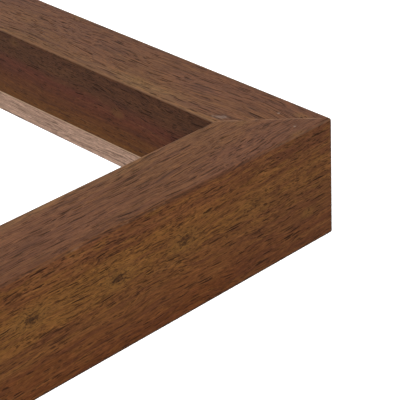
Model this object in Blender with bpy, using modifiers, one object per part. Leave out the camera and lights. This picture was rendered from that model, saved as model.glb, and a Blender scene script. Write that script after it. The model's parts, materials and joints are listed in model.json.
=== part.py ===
"""A deep wooden floating frame with its corner nails, art catches and hanging hardware.

The frame stands upright, as it hangs: +X is to the viewer's right, +Z is up and the face looks
towards -Y. The origin is the middle of the bottom rail's underside, halfway through the depth.
All lengths are in metres.
"""

import math

import bmesh
import bpy
from mathutils import Matrix, Vector

# The panel the frame is made for, and the gap round it that lets it float
ART_WIDTH = 0.2794
ART_HEIGHT = 0.3556
FLOAT_GAP = 0.00635

# The moulding's section
DEPTH = 0.0508
FACE_WIDTH = 0.0323
WELL_DEPTH = 0.0325
REBATE_WIDTH = 0.0110
EASE = 0.0013
EASE_STEPS = 4
GLUE_LINE = 0.0001

# Sizes that follow from those
OUTER_WIDTH = ART_WIDTH + 2 * (FLOAT_GAP + FACE_WIDTH)
OUTER_HEIGHT = ART_HEIGHT + 2 * (FLOAT_GAP + FACE_WIDTH)
FRONT = -DEPTH / 2
BACK = DEPTH / 2
BACK_WIDTH = FACE_WIDTH - REBATE_WIDTH

# Room between pieces that fit or rest on one another
CLEARANCE = 0.0003

# Facets of round holes and round ends
HOLE_SEGMENTS = 20
ROUND_STEPS = 14

# Corner nails: thin sheet folded to a V and driven into the back across each mitre
NAIL_SHEET = 0.0005
NAIL_HEIGHT = 0.0100
NAIL_REACH = 0.0034
NAIL_SPREAD = 0.0042
NAIL_BEND = 0.6  # how far along the wing it starts to curl
NAIL_CURL = 0.0007
NAIL_SINK = 0.0004
NAIL_INSETS = {"outer": 0.0060, "inner": 0.0130}

# Wood screws with pan heads
SHANK_RADIUS = 0.0014
SHANK_LENGTH = 0.0130
SCREW_POINT = 0.0030
HEAD_RADIUS = 0.0028
HEAD_HEIGHT = 0.0016
RECESS_LENGTH = 0.0032
RECESS_WIDTH = 0.0006
RECESS_DEPTH = 0.0008
RECESS_TURN = 9  # degrees
DOME_SHARE = 0.6  # of the head's height
DOME_STEPS = 4
SCREW_STEPS = 20

# Turn buttons: flat catches that swing over the back of the strainer
BUTTON_SHEET = 0.0012
BUTTON_HEAD = 0.0046
BUTTON_TIP = 0.0032
BUTTON_SPAN = 0.0160
BUTTON_HOLE = 0.0019
BUTTON_INSET = 0.0130
BUTTON_FROM_OPENING_END = 0.0600

# Hangers: a strap folded round the straight bar of a D-shaped ring
STRAP_SHEET = 0.0008
STRAP_WIDTH = 0.0100
STRAP_LENGTH = 0.0245
STRAP_FOLD_GAP = 0.0001
STRAP_HOLE = 0.0019
STRAP_SCREWS = {"upper": 0.0085, "lower": 0.0190}
FOLD_ANGLE = math.radians(50)
FOLD_EASE = 0.35  # share of the slope that the lower bend takes up
RING_WIRE = 0.0010
RING_INNER_WIDTH = 0.0108
RING_CORNER = 0.0020
RING_CORNER_STEPS = 4
RING_SIDE = 0.0030
HANGER_INSET = 0.0091
HANGER_HEIGHT = OUTER_HEIGHT * 2 / 3

# Rubber feet on the back of the bottom rail
BUMPER_RADIUS = 0.00635
BUMPER_TOP_RADIUS = 0.0042
BUMPER_HEIGHT = 0.0050
BUMPER_RIM = 0.0006
BUMPER_SHOULDER_STEPS = 5
BUMPER_STEPS = 32
BUMPER_FROM_CORNER = 0.0320

# The four sides of the frame: name, turn about Y, place of the outer side's middle, outer length
SIDES = [
    ("left_stile", 0, (-OUTER_WIDTH / 2, 0, OUTER_HEIGHT / 2), OUTER_HEIGHT),
    ("top_rail", 90, (0, 0, OUTER_HEIGHT), OUTER_WIDTH),
    ("right_stile", 180, (OUTER_WIDTH / 2, 0, OUTER_HEIGHT / 2), OUTER_HEIGHT),
    ("bottom_rail", 270, (0, 0, 0), OUTER_WIDTH),
]


# ---------------------------------------------------------------- scene and materials


def clear_scene():
    for ob in list(bpy.data.objects):
        bpy.data.objects.remove(ob, do_unlink=True)


def new_collection(name):
    collection = bpy.data.collections.new(name)
    bpy.context.scene.collection.children.link(collection)
    return collection


def new_material(name, colour, roughness, metallic=0.0):
    material = bpy.data.materials.new(name)
    material.use_nodes = True
    shader = material.node_tree.nodes["Principled BSDF"]
    shader.inputs["Base Color"].default_value = (*colour, 1.0)
    shader.inputs["Roughness"].default_value = roughness
    shader.inputs["Metallic"].default_value = metallic
    return material


def hardwood():
    return new_material("hardwood", (0.140, 0.062, 0.026), 0.42)


def nail_steel():
    return new_material("nail_steel", (0.36, 0.36, 0.37), 0.38, 1.0)


def strap_zinc():
    return new_material("strap_zinc", (0.60, 0.60, 0.58), 0.30, 1.0)


def button_zinc():
    return new_material("button_zinc", (0.60, 0.60, 0.58), 0.30, 1.0)


def ring_nickel():
    return new_material("ring_nickel", (0.66, 0.63, 0.58), 0.22, 1.0)


def screw_steel():
    return new_material("screw_steel", (0.55, 0.55, 0.54), 0.28, 1.0)


def bumper_rubber():
    return new_material("bumper_rubber", (0.020, 0.020, 0.021), 0.70)


# ---------------------------------------------------------------- shared shapes


def add_object(name, mesh, collection, material=None):
    ob = bpy.data.objects.new(name, mesh)
    collection.objects.link(ob)
    if material:
        mesh.materials.clear()
        mesh.materials.append(material)
    return ob


def smooth_round(mesh):
    mesh.shade_smooth()
    mesh.set_sharp_from_angle(angle=math.radians(35))


def arc(centre, radius, start, sweep, steps):
    """Points along an arc in a plane, both ends included; angles are in radians."""
    points = []
    for i in range(steps + 1):
        angle = start + sweep * i / steps
        points.append((centre[0] + radius * math.cos(angle), centre[1] + radius * math.sin(angle)))
    return points


def eased_outline(corners, radius, steps):
    """A closed outline, listed anticlockwise, with an arc at each corner that points outwards."""
    outline = []
    for i, corner in enumerate(corners):
        here = Vector(corner)
        before = (here - Vector(corners[i - 1])).normalized()
        after = (Vector(corners[(i + 1) % len(corners)]) - here).normalized()
        if before.cross(after) < 0:
            outline.append(tuple(here))
            continue
        centre = here - before * radius + after * radius
        start = math.atan2(-after.y, -after.x)
        outline += arc(centre, radius, start, math.pi / 2, steps)
    return outline


def bake(ob, mesh_name):
    """The object's shape after its modifiers, as a mesh; the object and its cutters go."""
    bpy.context.view_layer.update()
    evaluated = ob.evaluated_get(bpy.context.evaluated_depsgraph_get())
    mesh = bpy.data.meshes.new_from_object(evaluated)
    mesh.name = mesh_name
    for mod in ob.modifiers:
        if mod.type == "BOOLEAN":
            bpy.data.objects.remove(mod.object, do_unlink=True)
    bpy.data.objects.remove(ob, do_unlink=True)
    return mesh


def outline_mesh(name, outline, thickness, collection):
    """A flat outline in XY given a thickness along Z, with Z = 0 in its middle."""
    curve = bpy.data.curves.new(name, "CURVE")
    curve.dimensions = "2D"
    curve.fill_mode = "BOTH"
    curve.extrude = thickness / 2
    spline = curve.splines.new("POLY")
    spline.points.add(len(outline) - 1)
    for point, (x, y) in zip(spline.points, outline):
        point.co = (x, y, 0, 1)
    spline.use_cyclic_u = True
    mesh = bake(add_object(name, curve, collection), name)
    bpy.data.curves.remove(curve)
    bm = bmesh.new()
    bm.from_mesh(mesh)
    bmesh.ops.remove_doubles(bm, verts=bm.verts, dist=1e-6)
    bm.to_mesh(mesh)
    bm.free()
    return mesh


def box_mesh(name, size):
    bm = bmesh.new()
    bmesh.ops.create_cube(bm, size=1.0, matrix=Matrix.Diagonal((*size, 1.0)))
    mesh = bpy.data.meshes.new(name)
    bm.to_mesh(mesh)
    bm.free()
    return mesh


def cylinder_mesh(name, radius, length, segments):
    bm = bmesh.new()
    bmesh.ops.create_cone(
        bm, cap_ends=True, segments=segments, radius1=radius, radius2=radius, depth=length
    )
    mesh = bpy.data.meshes.new(name)
    bm.to_mesh(mesh)
    bm.free()
    return mesh


def ribbon_mesh(name, path, width):
    """An open surface: a path in XY drawn out along Z, half the width each way."""
    bm = bmesh.new()
    verts = [bm.verts.new((x, y, -width / 2)) for x, y in path]
    edges = [bm.edges.new(pair) for pair in zip(verts, verts[1:])]
    drawn = bmesh.ops.extrude_edge_only(bm, edges=edges)["geom"]
    moved = [item for item in drawn if isinstance(item, bmesh.types.BMVert)]
    bmesh.ops.translate(bm, verts=moved, vec=(0, 0, width))
    mesh = bpy.data.meshes.new(name)
    bm.to_mesh(mesh)
    bm.free()
    return mesh


def turned_object(name, profile, steps, collection):
    """A profile at +X, listed from the top down, turned about Z."""
    bm = bmesh.new()
    verts = [bm.verts.new((r, 0, z)) for r, z in profile]
    for pair in zip(verts, verts[1:]):
        bm.edges.new(pair)
    mesh = bpy.data.meshes.new(name)
    bm.to_mesh(mesh)
    bm.free()
    ob = add_object(name, mesh, collection)
    screw = ob.modifiers.new("turn", "SCREW")
    screw.axis = "Z"
    screw.angle = math.tau
    screw.steps = steps
    screw.render_steps = steps
    screw.use_merge_vertices = True
    screw.merge_threshold = 1e-6
    return ob


def solidify(ob, thickness):
    shell = ob.modifiers.new("thickness", "SOLIDIFY")
    shell.thickness = thickness
    shell.offset = 0.0
    shell.use_even_offset = True


def hide_cutter(ob):
    ob.hide_render = True
    ob.display_type = "WIRE"


def cut(ob, cutter, operation="DIFFERENCE"):
    hide_cutter(cutter)
    boolean = ob.modifiers.new(cutter.name, "BOOLEAN")
    boolean.object = cutter
    boolean.operation = operation
    boolean.solver = "EXACT"


def stand_on_back(ob, x, z, height, towards=0.0):
    """Puts an object whose +Z is its top on the frame's back, its +X turned to an angle
    measured from the world's +X towards +Z."""
    ob.location = (x, BACK + height, z)
    ob.rotation_euler = (-math.pi / 2, -towards, 0)


# ---------------------------------------------------------------- moulding


def moulding_section():
    """The moulding's section: X is the distance in from its outer side, Y runs face to back."""
    shoulder = FRONT + WELL_DEPTH
    corners = [
        (0, FRONT),
        (FACE_WIDTH, FRONT),
        (FACE_WIDTH, shoulder),
        (BACK_WIDTH, shoulder),
        (BACK_WIDTH, BACK),
        (0, BACK),
    ]
    return eased_outline(corners, EASE, EASE_STEPS)


def saw(bm, point, normal):
    """Cuts off what lies beyond a plane and closes the cut."""
    everything = bm.verts[:] + bm.edges[:] + bm.faces[:]
    result = bmesh.ops.bisect_plane(
        bm, geom=everything, dist=1e-8, plane_co=point, plane_no=normal, clear_outer=True
    )
    rim = [item for item in result["geom_cut"] if isinstance(item, bmesh.types.BMEdge)]
    if rim:
        bmesh.ops.edgeloop_fill(bm, edges=rim)


def saw_mitre(bm, length, end):
    """Mitres one end, +1 or -1, then rounds the corner edge that the mitre leaves and its tips."""
    normal = Vector((1, 0, end)).normalized()
    saw(bm, Vector((0, 0, end * length / 2)) - normal * GLUE_LINE / 2, normal)
    ease_corner(bm, Vector((EASE, 0, end * (length / 2 - EASE))), end, 0)
    for depth, side in ((FRONT + EASE, -1), (BACK - EASE, 1)):
        for step in range(1, EASE_STEPS):
            tilt = side * math.radians(90) * step / EASE_STEPS
            ease_corner(bm, Vector((EASE, depth, end * (length / 2 - EASE))), end, tilt)


def ease_corner(bm, centre, end, tilt):
    """Cuts planes that touch a ball of the edges' radius, from the outer side to the mitre."""
    for step in range(1, EASE_STEPS + 1):
        around = math.radians(45) * step / EASE_STEPS
        normal = Vector((-math.cos(around), 0, end * math.sin(around))) * math.cos(tilt)
        normal.y = math.sin(tilt)
        saw(bm, centre + normal * EASE, normal)


def moulding_mesh(name, length, collection):
    spare = 4 * EASE
    mesh = outline_mesh(name, moulding_section(), length + spare, collection)
    bm = bmesh.new()
    bm.from_mesh(mesh)
    for end in (1, -1):
        saw_mitre(bm, length, end)
    bmesh.ops.recalc_face_normals(bm, faces=bm.faces)
    bm.to_mesh(mesh)
    bm.free()
    return mesh


def add_sides(parts, pockets, material):
    for name, turn, place, length in SIDES:
        mesh = moulding_mesh(name, length, parts)
        mesh.shade_flat()
        ob = add_object(name, mesh, parts, material)
        ob.location = place
        ob.rotation_euler = (0, math.radians(turn), 0)
        boolean = ob.modifiers.new("pockets", "BOOLEAN")
        boolean.operand_type = "COLLECTION"
        boolean.collection = pockets
        boolean.solver = "EXACT"


# ---------------------------------------------------------------- corner nails


def nail_path(extra=0.0):
    """The nail's plan: a V whose point is at X = 0 and whose wings curl at their ends."""
    wing = Vector((-NAIL_REACH, NAIL_SPREAD))
    tip = wing + wing.normalized() * extra + Vector((NAIL_CURL, NAIL_CURL))
    bend = wing * NAIL_BEND
    upper = [tuple(tip), tuple(bend)]
    lower = [(x, -y) for x, y in reversed(upper)]
    return [*upper, (0, 0), *lower]


def nail_mesh(parts):
    ob = add_object("nail", ribbon_mesh("nail", nail_path(), NAIL_HEIGHT), parts)
    solidify(ob, NAIL_SHEET)
    return bake(ob, "v_nail")


def nail_slot_mesh(parts):
    room = NAIL_HEIGHT + 2 * (NAIL_SINK + CLEARANCE)
    ob = add_object("slot", ribbon_mesh("slot", nail_path(CLEARANCE), room), parts)
    solidify(ob, NAIL_SHEET + 2 * CLEARANCE)
    return bake(ob, "v_nail_slot")


def add_nails(parts, pockets, material):
    nail = nail_mesh(parts)
    slot = nail_slot_mesh(parts)
    depth = -NAIL_SINK - NAIL_HEIGHT / 2
    for across, x in (("left", -1), ("right", 1)):
        for along, z in (("bottom", -1), ("top", 1)):
            corner_z = OUTER_HEIGHT if z > 0 else 0
            for row, inset in NAIL_INSETS.items():
                place = (x * (OUTER_WIDTH / 2 - inset), corner_z - z * inset)
                outwards = math.atan2(z, x)
                ob = add_object(f"v_nail_{along}_{across}_{row}", nail, parts, material)
                stand_on_back(ob, *place, depth, outwards)
                cutter = add_object(f"slot_{along}_{across}_{row}", slot, pockets)
                stand_on_back(cutter, *place, depth, outwards)
                hide_cutter(cutter)


# ---------------------------------------------------------------- screws


def screw_profile():
    """Head and shank from the top down; Z = 0 is under the head."""
    rise = HEAD_HEIGHT * DOME_SHARE
    dome = []
    for i in range(DOME_STEPS + 1):
        angle = math.pi / 2 * i / DOME_STEPS
        dome.append((HEAD_RADIUS * math.sin(angle), HEAD_HEIGHT - rise * (1 - math.cos(angle))))
    shank = [
        (HEAD_RADIUS, 0),
        (SHANK_RADIUS, 0),
        (SHANK_RADIUS, SCREW_POINT - SHANK_LENGTH),
        (0, -SHANK_LENGTH),
    ]
    return dome + shank


def screw_mesh(parts):
    ob = turned_object("screw", screw_profile(), SCREW_STEPS, parts)
    for name, turn in (("slot_a", 0), ("slot_b", 90)):
        size = (RECESS_LENGTH, RECESS_WIDTH, 2 * RECESS_DEPTH)
        cutter = add_object(name, box_mesh(name, size), parts)
        cutter.location = (0, 0, HEAD_HEIGHT)
        cutter.rotation_euler = (0, 0, math.radians(turn + RECESS_TURN))
        cut(ob, cutter)
    mesh = bake(ob, "pan_screw")
    smooth_round(mesh)
    return mesh


def add_screw(name, screw, pilot, x, z, seat, parts, pockets, material):
    """A screw whose head seats at a height over the back, and its pilot hole in the wood."""
    ob = add_object(name, screw, parts, material)
    stand_on_back(ob, x, z, seat)
    hole = add_object(name + "_pilot", pilot, pockets)
    stand_on_back(hole, x, z, 0)
    hide_cutter(hole)


# ---------------------------------------------------------------- turn buttons


def button_outline():
    """Two round ends, the wide one about the origin, joined by their common tangents."""
    lean = math.acos((BUTTON_HEAD - BUTTON_TIP) / BUTTON_SPAN)
    head = arc((0, 0), BUTTON_HEAD, lean, math.tau - 2 * lean, ROUND_STEPS)
    tip = arc((BUTTON_SPAN, 0), BUTTON_TIP, -lean, 2 * lean, ROUND_STEPS // 2)
    return head + tip


def button_mesh(parts):
    mesh = outline_mesh("button", button_outline(), BUTTON_SHEET, parts)
    ob = add_object("button", mesh, parts)
    drill = cylinder_mesh("drill", BUTTON_HOLE, 3 * BUTTON_SHEET, HOLE_SEGMENTS)
    cut(ob, add_object("drill", drill, parts))
    mesh = bake(ob, "turn_button")
    smooth_round(mesh)
    return mesh


def button_places():
    """Name, place on the back and rest direction of each turn button, parallel to its side."""
    side_x = OUTER_WIDTH / 2 - BUTTON_INSET
    low = FACE_WIDTH + BUTTON_FROM_OPENING_END
    high = OUTER_HEIGHT - low
    up, right = math.pi / 2, 0.0
    return [
        ("left_upper", -side_x, high, up),
        ("left_lower", -side_x, low, up),
        ("right_upper", side_x, high, up),
        ("right_lower", side_x, low, up),
        ("top", 0.0, OUTER_HEIGHT - BUTTON_INSET, right),
        ("bottom", 0.0, BUTTON_INSET, right),
    ]


def add_buttons(parts, pockets, screw, pilot, button_material, screw_material):
    button = button_mesh(parts)
    middle = CLEARANCE + BUTTON_SHEET / 2
    seat = 2 * CLEARANCE + BUTTON_SHEET
    for name, x, z, towards in button_places():
        ob = add_object(f"{name}_turn_button", button, parts, button_material)
        stand_on_back(ob, x, z, middle, towards)
        add_screw(f"{name}_button_screw", screw, pilot, x, z, seat, parts, pockets, screw_material)


# ---------------------------------------------------------------- hangers


def fold_radius():
    """Radius of the strap's middle surface where it wraps the ring's bar."""
    return RING_WIRE + CLEARANCE + STRAP_SHEET / 2


def bar_height():
    """Height of the ring's bar over the frame's back."""
    return CLEARANCE + STRAP_SHEET / 2 + fold_radius()


def strap_path():
    """The strap's middle line from its lower end, up, round the bar and down again.

    X is the height over the back, less the bar's, and Y is up; the bar's centre is the origin.
    """
    radius = fold_radius()
    under_layer = -radius
    over_layer = under_layer + STRAP_SHEET + STRAP_FOLD_GAP
    wrap = arc((0, 0), radius, math.pi, -math.pi - FOLD_ANGLE, ROUND_STEPS)
    last = Vector(wrap[-1])
    run = (last.x - over_layer) / math.sin(FOLD_ANGLE)
    joins = last + run * Vector((-math.sin(FOLD_ANGLE), -math.cos(FOLD_ANGLE)))
    ease = run * FOLD_EASE
    before = joins + ease * Vector((math.sin(FOLD_ANGLE), math.cos(FOLD_ANGLE)))
    after = joins - Vector((0, ease))
    ends = [(under_layer, -STRAP_LENGTH - STRAP_WIDTH), *wrap]
    return [*ends, tuple(before), tuple(after), (over_layer, -STRAP_LENGTH - STRAP_WIDTH)]


def strap_plan():
    """The strap seen from behind: its lower end is rounded to its width."""
    half = STRAP_WIDTH / 2
    lower_end = arc((0, half - STRAP_LENGTH), half, math.pi, math.pi, ROUND_STEPS)
    return [*lower_end, (half, 2 * half), (-half, 2 * half)]


def strap_mesh(parts):
    """Local axes: X across the strap, Y away from the frame's back, Z up."""
    mesh = ribbon_mesh("strap", strap_path(), 2 * STRAP_WIDTH)
    to_local = Matrix(((0, 0, 1, 0), (1, 0, 0, 0), (0, 1, 0, 0), (0, 0, 0, 1)))
    mesh.transform(to_local)
    ob = add_object("strap", mesh, parts)
    solidify(ob, STRAP_SHEET)
    trim = outline_mesh("trim", strap_plan(), 4 * bar_height(), parts)
    trimmer = add_object("trim", trim, parts)
    trimmer.rotation_euler = (math.pi / 2, 0, 0)
    cut(ob, trimmer, "INTERSECT")
    for name, below in STRAP_SCREWS.items():
        drill = add_object(name, cylinder_mesh(name, STRAP_HOLE, 4 * bar_height(), HOLE_SEGMENTS), parts)
        drill.location = (0, 0, -below)
        drill.rotation_euler = (math.pi / 2, 0, 0)
        cut(ob, drill)
    mesh = bake(ob, "hanger_strap")
    smooth_round(mesh)
    return mesh


def ring_path():
    """The wire's middle line in X and Z: a straight bar, eased corners and a round bow."""
    half = RING_INNER_WIDTH / 2 + RING_WIRE
    turn = (half - RING_CORNER, RING_CORNER)
    right = arc(turn, RING_CORNER, -math.pi / 2, math.pi / 2, RING_CORNER_STEPS)
    bow = arc((0, RING_SIDE), half, 0, math.pi, ROUND_STEPS)
    left = [(-x, z) for x, z in reversed(right)]
    return right + bow + left


def ring_mesh(parts):
    curve = bpy.data.curves.new("ring", "CURVE")
    curve.dimensions = "3D"
    curve.bevel_depth = RING_WIRE
    curve.bevel_resolution = 2
    path = ring_path()
    spline = curve.splines.new("POLY")
    spline.points.add(len(path) - 1)
    for point, (x, z) in zip(spline.points, path):
        point.co = (x, 0, z, 1)
    spline.use_cyclic_u = True
    mesh = bake(add_object("ring", curve, parts), "d_ring")
    bpy.data.curves.remove(curve)
    smooth_round(mesh)
    return mesh


def add_hangers(parts, pockets, screw, pilot, strap_material, ring_material, screw_material):
    strap = strap_mesh(parts)
    ring = ring_mesh(parts)
    seat = 2 * CLEARANCE + 2 * STRAP_SHEET + STRAP_FOLD_GAP
    for side, sign in (("left", -1), ("right", 1)):
        x = sign * (OUTER_WIDTH / 2 - HANGER_INSET)
        bar = (x, BACK + bar_height(), HANGER_HEIGHT)
        add_object(f"{side}_hanger_strap", strap, parts, strap_material).location = bar
        add_object(f"{side}_d_ring", ring, parts, ring_material).location = bar
        for row, below in STRAP_SCREWS.items():
            name = f"{side}_strap_screw_{row}"
            z = HANGER_HEIGHT - below
            add_screw(name, screw, pilot, x, z, seat, parts, pockets, screw_material)


# ---------------------------------------------------------------- bumpers


def bumper_mesh(parts):
    """A round foot: flat contact face, rounded shoulder and a plain upright rim."""
    ease = BUMPER_RADIUS - BUMPER_RIM - BUMPER_TOP_RADIUS
    middle = (BUMPER_TOP_RADIUS, BUMPER_HEIGHT - ease)
    shoulder = arc(middle, ease, math.pi / 2, -math.pi / 2, BUMPER_SHOULDER_STEPS)
    rim = [(BUMPER_RADIUS, BUMPER_RIM), (BUMPER_RADIUS, 0)]
    profile = [(0, BUMPER_HEIGHT), *shoulder, *rim, (0, 0)]
    mesh = bake(turned_object("bumper", profile, BUMPER_STEPS, parts), "bumper")
    smooth_round(mesh)
    return mesh


def add_bumpers(parts, material):
    bumper = bumper_mesh(parts)
    for side, sign in (("left", -1), ("right", 1)):
        ob = add_object(f"{side}_bumper", bumper, parts, material)
        x = sign * (OUTER_WIDTH / 2 - BUMPER_FROM_CORNER)
        stand_on_back(ob, x, BACK_WIDTH / 2, CLEARANCE)


# ---------------------------------------------------------------- the whole frame


def build():
    clear_scene()
    parts = new_collection("floating_frame")
    pockets = new_collection("pockets")
    screws = screw_steel()
    screw = screw_mesh(parts)
    pilot = cylinder_mesh("pilot", SHANK_RADIUS + CLEARANCE, 2 * SHANK_LENGTH, HOLE_SEGMENTS)
    add_sides(parts, pockets, hardwood())
    add_nails(parts, pockets, nail_steel())
    add_buttons(parts, pockets, screw, pilot, button_zinc(), screws)
    add_hangers(parts, pockets, screw, pilot, strap_zinc(), ring_nickel(), screws)
    add_bumpers(parts, bumper_rubber())


build()
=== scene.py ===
"""Looks of the floating frame: oiled open-pored hardwood, plated steel hardware and rubber feet.

Lengths are in metres in the frame's own axes: +X right, +Z up, and the face looks towards -Y.
"""

import json
import math

import bmesh
import bpy
from mathutils import Matrix, Vector

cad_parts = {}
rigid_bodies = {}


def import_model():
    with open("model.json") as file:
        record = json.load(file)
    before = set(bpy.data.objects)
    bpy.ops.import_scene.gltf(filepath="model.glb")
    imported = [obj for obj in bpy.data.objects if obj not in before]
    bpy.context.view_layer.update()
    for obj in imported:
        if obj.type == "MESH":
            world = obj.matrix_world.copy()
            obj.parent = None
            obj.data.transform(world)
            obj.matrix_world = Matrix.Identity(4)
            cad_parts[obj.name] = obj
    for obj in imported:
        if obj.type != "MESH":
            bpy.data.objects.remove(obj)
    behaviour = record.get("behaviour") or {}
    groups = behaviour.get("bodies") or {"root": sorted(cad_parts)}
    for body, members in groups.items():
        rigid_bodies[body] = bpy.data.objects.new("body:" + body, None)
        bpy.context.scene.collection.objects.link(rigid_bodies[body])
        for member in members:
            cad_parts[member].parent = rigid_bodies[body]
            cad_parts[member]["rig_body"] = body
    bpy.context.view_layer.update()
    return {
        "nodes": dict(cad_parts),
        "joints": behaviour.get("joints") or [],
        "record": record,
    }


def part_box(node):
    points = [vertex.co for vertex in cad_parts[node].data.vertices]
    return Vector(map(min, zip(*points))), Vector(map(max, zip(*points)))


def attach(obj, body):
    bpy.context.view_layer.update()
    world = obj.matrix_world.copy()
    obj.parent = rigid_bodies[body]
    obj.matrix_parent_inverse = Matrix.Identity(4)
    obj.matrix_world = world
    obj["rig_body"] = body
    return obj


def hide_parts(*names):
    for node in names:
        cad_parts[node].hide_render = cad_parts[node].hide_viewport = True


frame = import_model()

MM = 0.001

# The sides, each with its turn about Y from the left stile
SIDES = {"left_stile": 0, "top_rail": 90, "right_stile": 180, "bottom_rail": 270}

# Light that falls on the face, against a white card's, and the share of it that reaches the well
FACE_LIGHT = 1.45
WALL_LIGHT = 0.62

# The radius of the wood's eased edges, and how far the edges of stamped steel are eased
ARRIS = 0.0013
STAMPED_EASE = 0.00012


# ---------------------------------------------------------------- sizes read from the frame


def mount(name):
    return next(m for m in frame["record"]["mounts"] if m["name"] == name)


class Section:
    """The moulding's section, read from the left stile and its shoulder mount."""

    def __init__(self):
        low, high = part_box("left_stile")
        shoulder = mount("left_shoulder")["pos_m"]
        self.left, self.front, self.back = low[0], low[1], high[1]
        self.face = high[0] - low[0]
        self.depth = self.back - self.front
        self.shoulder = shoulder[1]
        self.wall = 2 * (shoulder[0] - self.left) - self.face
        self.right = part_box("right_stile")[1][0]
        self.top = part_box("top_rail")[1][2]
        self.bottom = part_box("bottom_rail")[0][2]

    def outer_middle(self, turn):
        """The middle of a side's outer face: turn is 0 left, 90 top, 180 right, 270 bottom."""
        across, up = (self.left + self.right) / 2, (self.bottom + self.top) / 2
        return {
            0: Vector((self.left, 0, up)),
            90: Vector((across, 0, self.top)),
            180: Vector((self.right, 0, up)),
            270: Vector((across, 0, self.bottom)),
        }[turn]

    def half_length(self, turn):
        """Half a side's outer length."""
        upright = turn in (0, 180)
        return (self.top - self.bottom) / 2 if upright else (self.right - self.left) / 2


section = Section()


# ---------------------------------------------------------------- shader helpers


class Graph:
    """A material under construction, with short calls for its nodes."""

    def __init__(self, name):
        self.material = bpy.data.materials.new(name)
        self.material.use_nodes = True
        self.tree = self.material.node_tree
        self.shader = self.tree.nodes["Principled BSDF"]

    def put(self, socket, value):
        if isinstance(value, bpy.types.NodeSocket):
            self.tree.links.new(value, socket)
        else:
            socket.default_value = value

    def node(self, kind, inputs=None, **settings):
        node = self.tree.nodes.new(kind)
        for key, value in settings.items():
            setattr(node, key, value)
        for key, value in (inputs or {}).items():
            self.put(node.inputs[key], value)
        return node

    def math(self, operation, a, b=0.0, c=0.0, clamp=False):
        node = self.node("ShaderNodeMath", {0: a, 1: b, 2: c}, operation=operation)
        node.use_clamp = clamp
        return node.outputs[0]

    def chain(self, operation, values):
        """One operation over several values, from left to right."""
        total = values[0]
        for value in values[1:]:
            total = self.math(operation, total, value)
        return total

    def plus(self, *values):
        return self.chain("ADD", values)

    def product(self, *values):
        return self.chain("MULTIPLY", values)

    def greatest(self, *values):
        return self.chain("MAXIMUM", values)

    def minus(self, a, b, clamp=False):
        return self.math("SUBTRACT", a, b, clamp=clamp)

    def length(self, a, b):
        return self.math("SQRT", self.plus(self.product(a, a), self.product(b, b)))

    def step(self, value, low, high):
        """0 below low, 1 above high, smooth between; low may be the higher of the two."""
        inputs = {"Value": value, "From Min": low, "From Max": high}
        node = self.node("ShaderNodeMapRange", inputs, interpolation_type="SMOOTHSTEP")
        return node.outputs[0]

    def remap(self, value, low, high):
        inputs = {"Value": value, "To Min": low, "To Max": high}
        return self.node("ShaderNodeMapRange", inputs).outputs[0]

    def mix(self, factor, a, b, blend="MIX"):
        node = self.node("ShaderNodeMix", data_type="RGBA", blend_type=blend)
        self.put(node.inputs[0], factor)
        self.put(node.inputs[6], a)
        self.put(node.inputs[7], b)
        return node.outputs[2]

    def ramp(self, factor, stops):
        node = self.node("ShaderNodeValToRGB", {"Fac": factor})
        elements = node.color_ramp.elements
        while len(elements) < len(stops):
            elements.new(0.5)
        for element, (place, colour) in zip(elements, stops):
            element.position = place
            element.color = (*colour, 1.0)
        return node.outputs[0]

    def place(self):
        """A point's place in its object's own axes, in metres."""
        return self.node("ShaderNodeTexCoord").outputs["Object"]

    def stretch(self, vector, scale, shift=(0, 0, 0)):
        inputs = {"Vector": vector, "Scale": scale, "Location": shift}
        return self.node("ShaderNodeMapping", inputs).outputs[0]

    def noise(self, vector, detail=2.0, rough=0.5):
        inputs = {"Vector": vector, "Scale": 1.0, "Detail": detail, "Roughness": rough}
        return self.node("ShaderNodeTexNoise", inputs).outputs

    def voronoi(self, vector):
        return self.node("ShaderNodeTexVoronoi", {"Vector": vector, "Scale": 1.0}).outputs

    def grains(self, vector, across, along, detail=2.0, rough=0.5, shift=(0, 0, 0)):
        """Noise drawn out along Z: its grains are so wide and so long."""
        scale = (1 / across, 1 / across, 1 / along)
        return self.noise(self.stretch(vector, scale, shift), detail, rough)

    def cells(self, vector, across, along, shift=(0, 0, 0)):
        """Cells drawn out along Z: each has a middle, a distance from it and random colours."""
        scale = (1 / across, 1 / across, 1 / along)
        return self.voronoi(self.stretch(vector, scale, shift))

    def vector(self, operation, a, b):
        return self.node("ShaderNodeVectorMath", {0: a, 1: b}, operation=operation).outputs[0]

    def add(self, a, b):
        return self.vector("ADD", a, b)

    def times(self, a, b):
        return self.vector("MULTIPLY", a, b)

    def centred(self, colour):
        return self.vector("SUBTRACT", colour, (0.5, 0.5, 0.5))

    def split(self, vector):
        return self.node("ShaderNodeSeparateXYZ", {"Vector": vector}).outputs

    def channels(self, colour):
        return self.node("ShaderNodeSeparateColor", {"Color": colour}).outputs

    def bump(self, height, distance, strength=1.0):
        inputs = {"Height": height, "Distance": distance, "Strength": strength}
        self.put(self.shader.inputs["Normal"], self.node("ShaderNodeBump", inputs).outputs[0])

    def finish(self, colour, roughness, **others):
        self.put(self.shader.inputs["Base Color"], colour)
        self.put(self.shader.inputs["Roughness"], roughness)
        for name, value in others.items():
            self.put(self.shader.inputs[name.replace("_", " ")], value)
        return self.material


def srgb(red, green, blue):
    """A colour given as 0 to 255 screen values."""

    def linear(value):
        value /= 255
        return value / 12.92 if value <= 0.04045 else ((value + 0.055) / 1.055) ** 2.4

    return (linear(red), linear(green), linear(blue))


def solid(colour):
    return (*colour, 1.0)


# ---------------------------------------------------------------- hardwood

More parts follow.
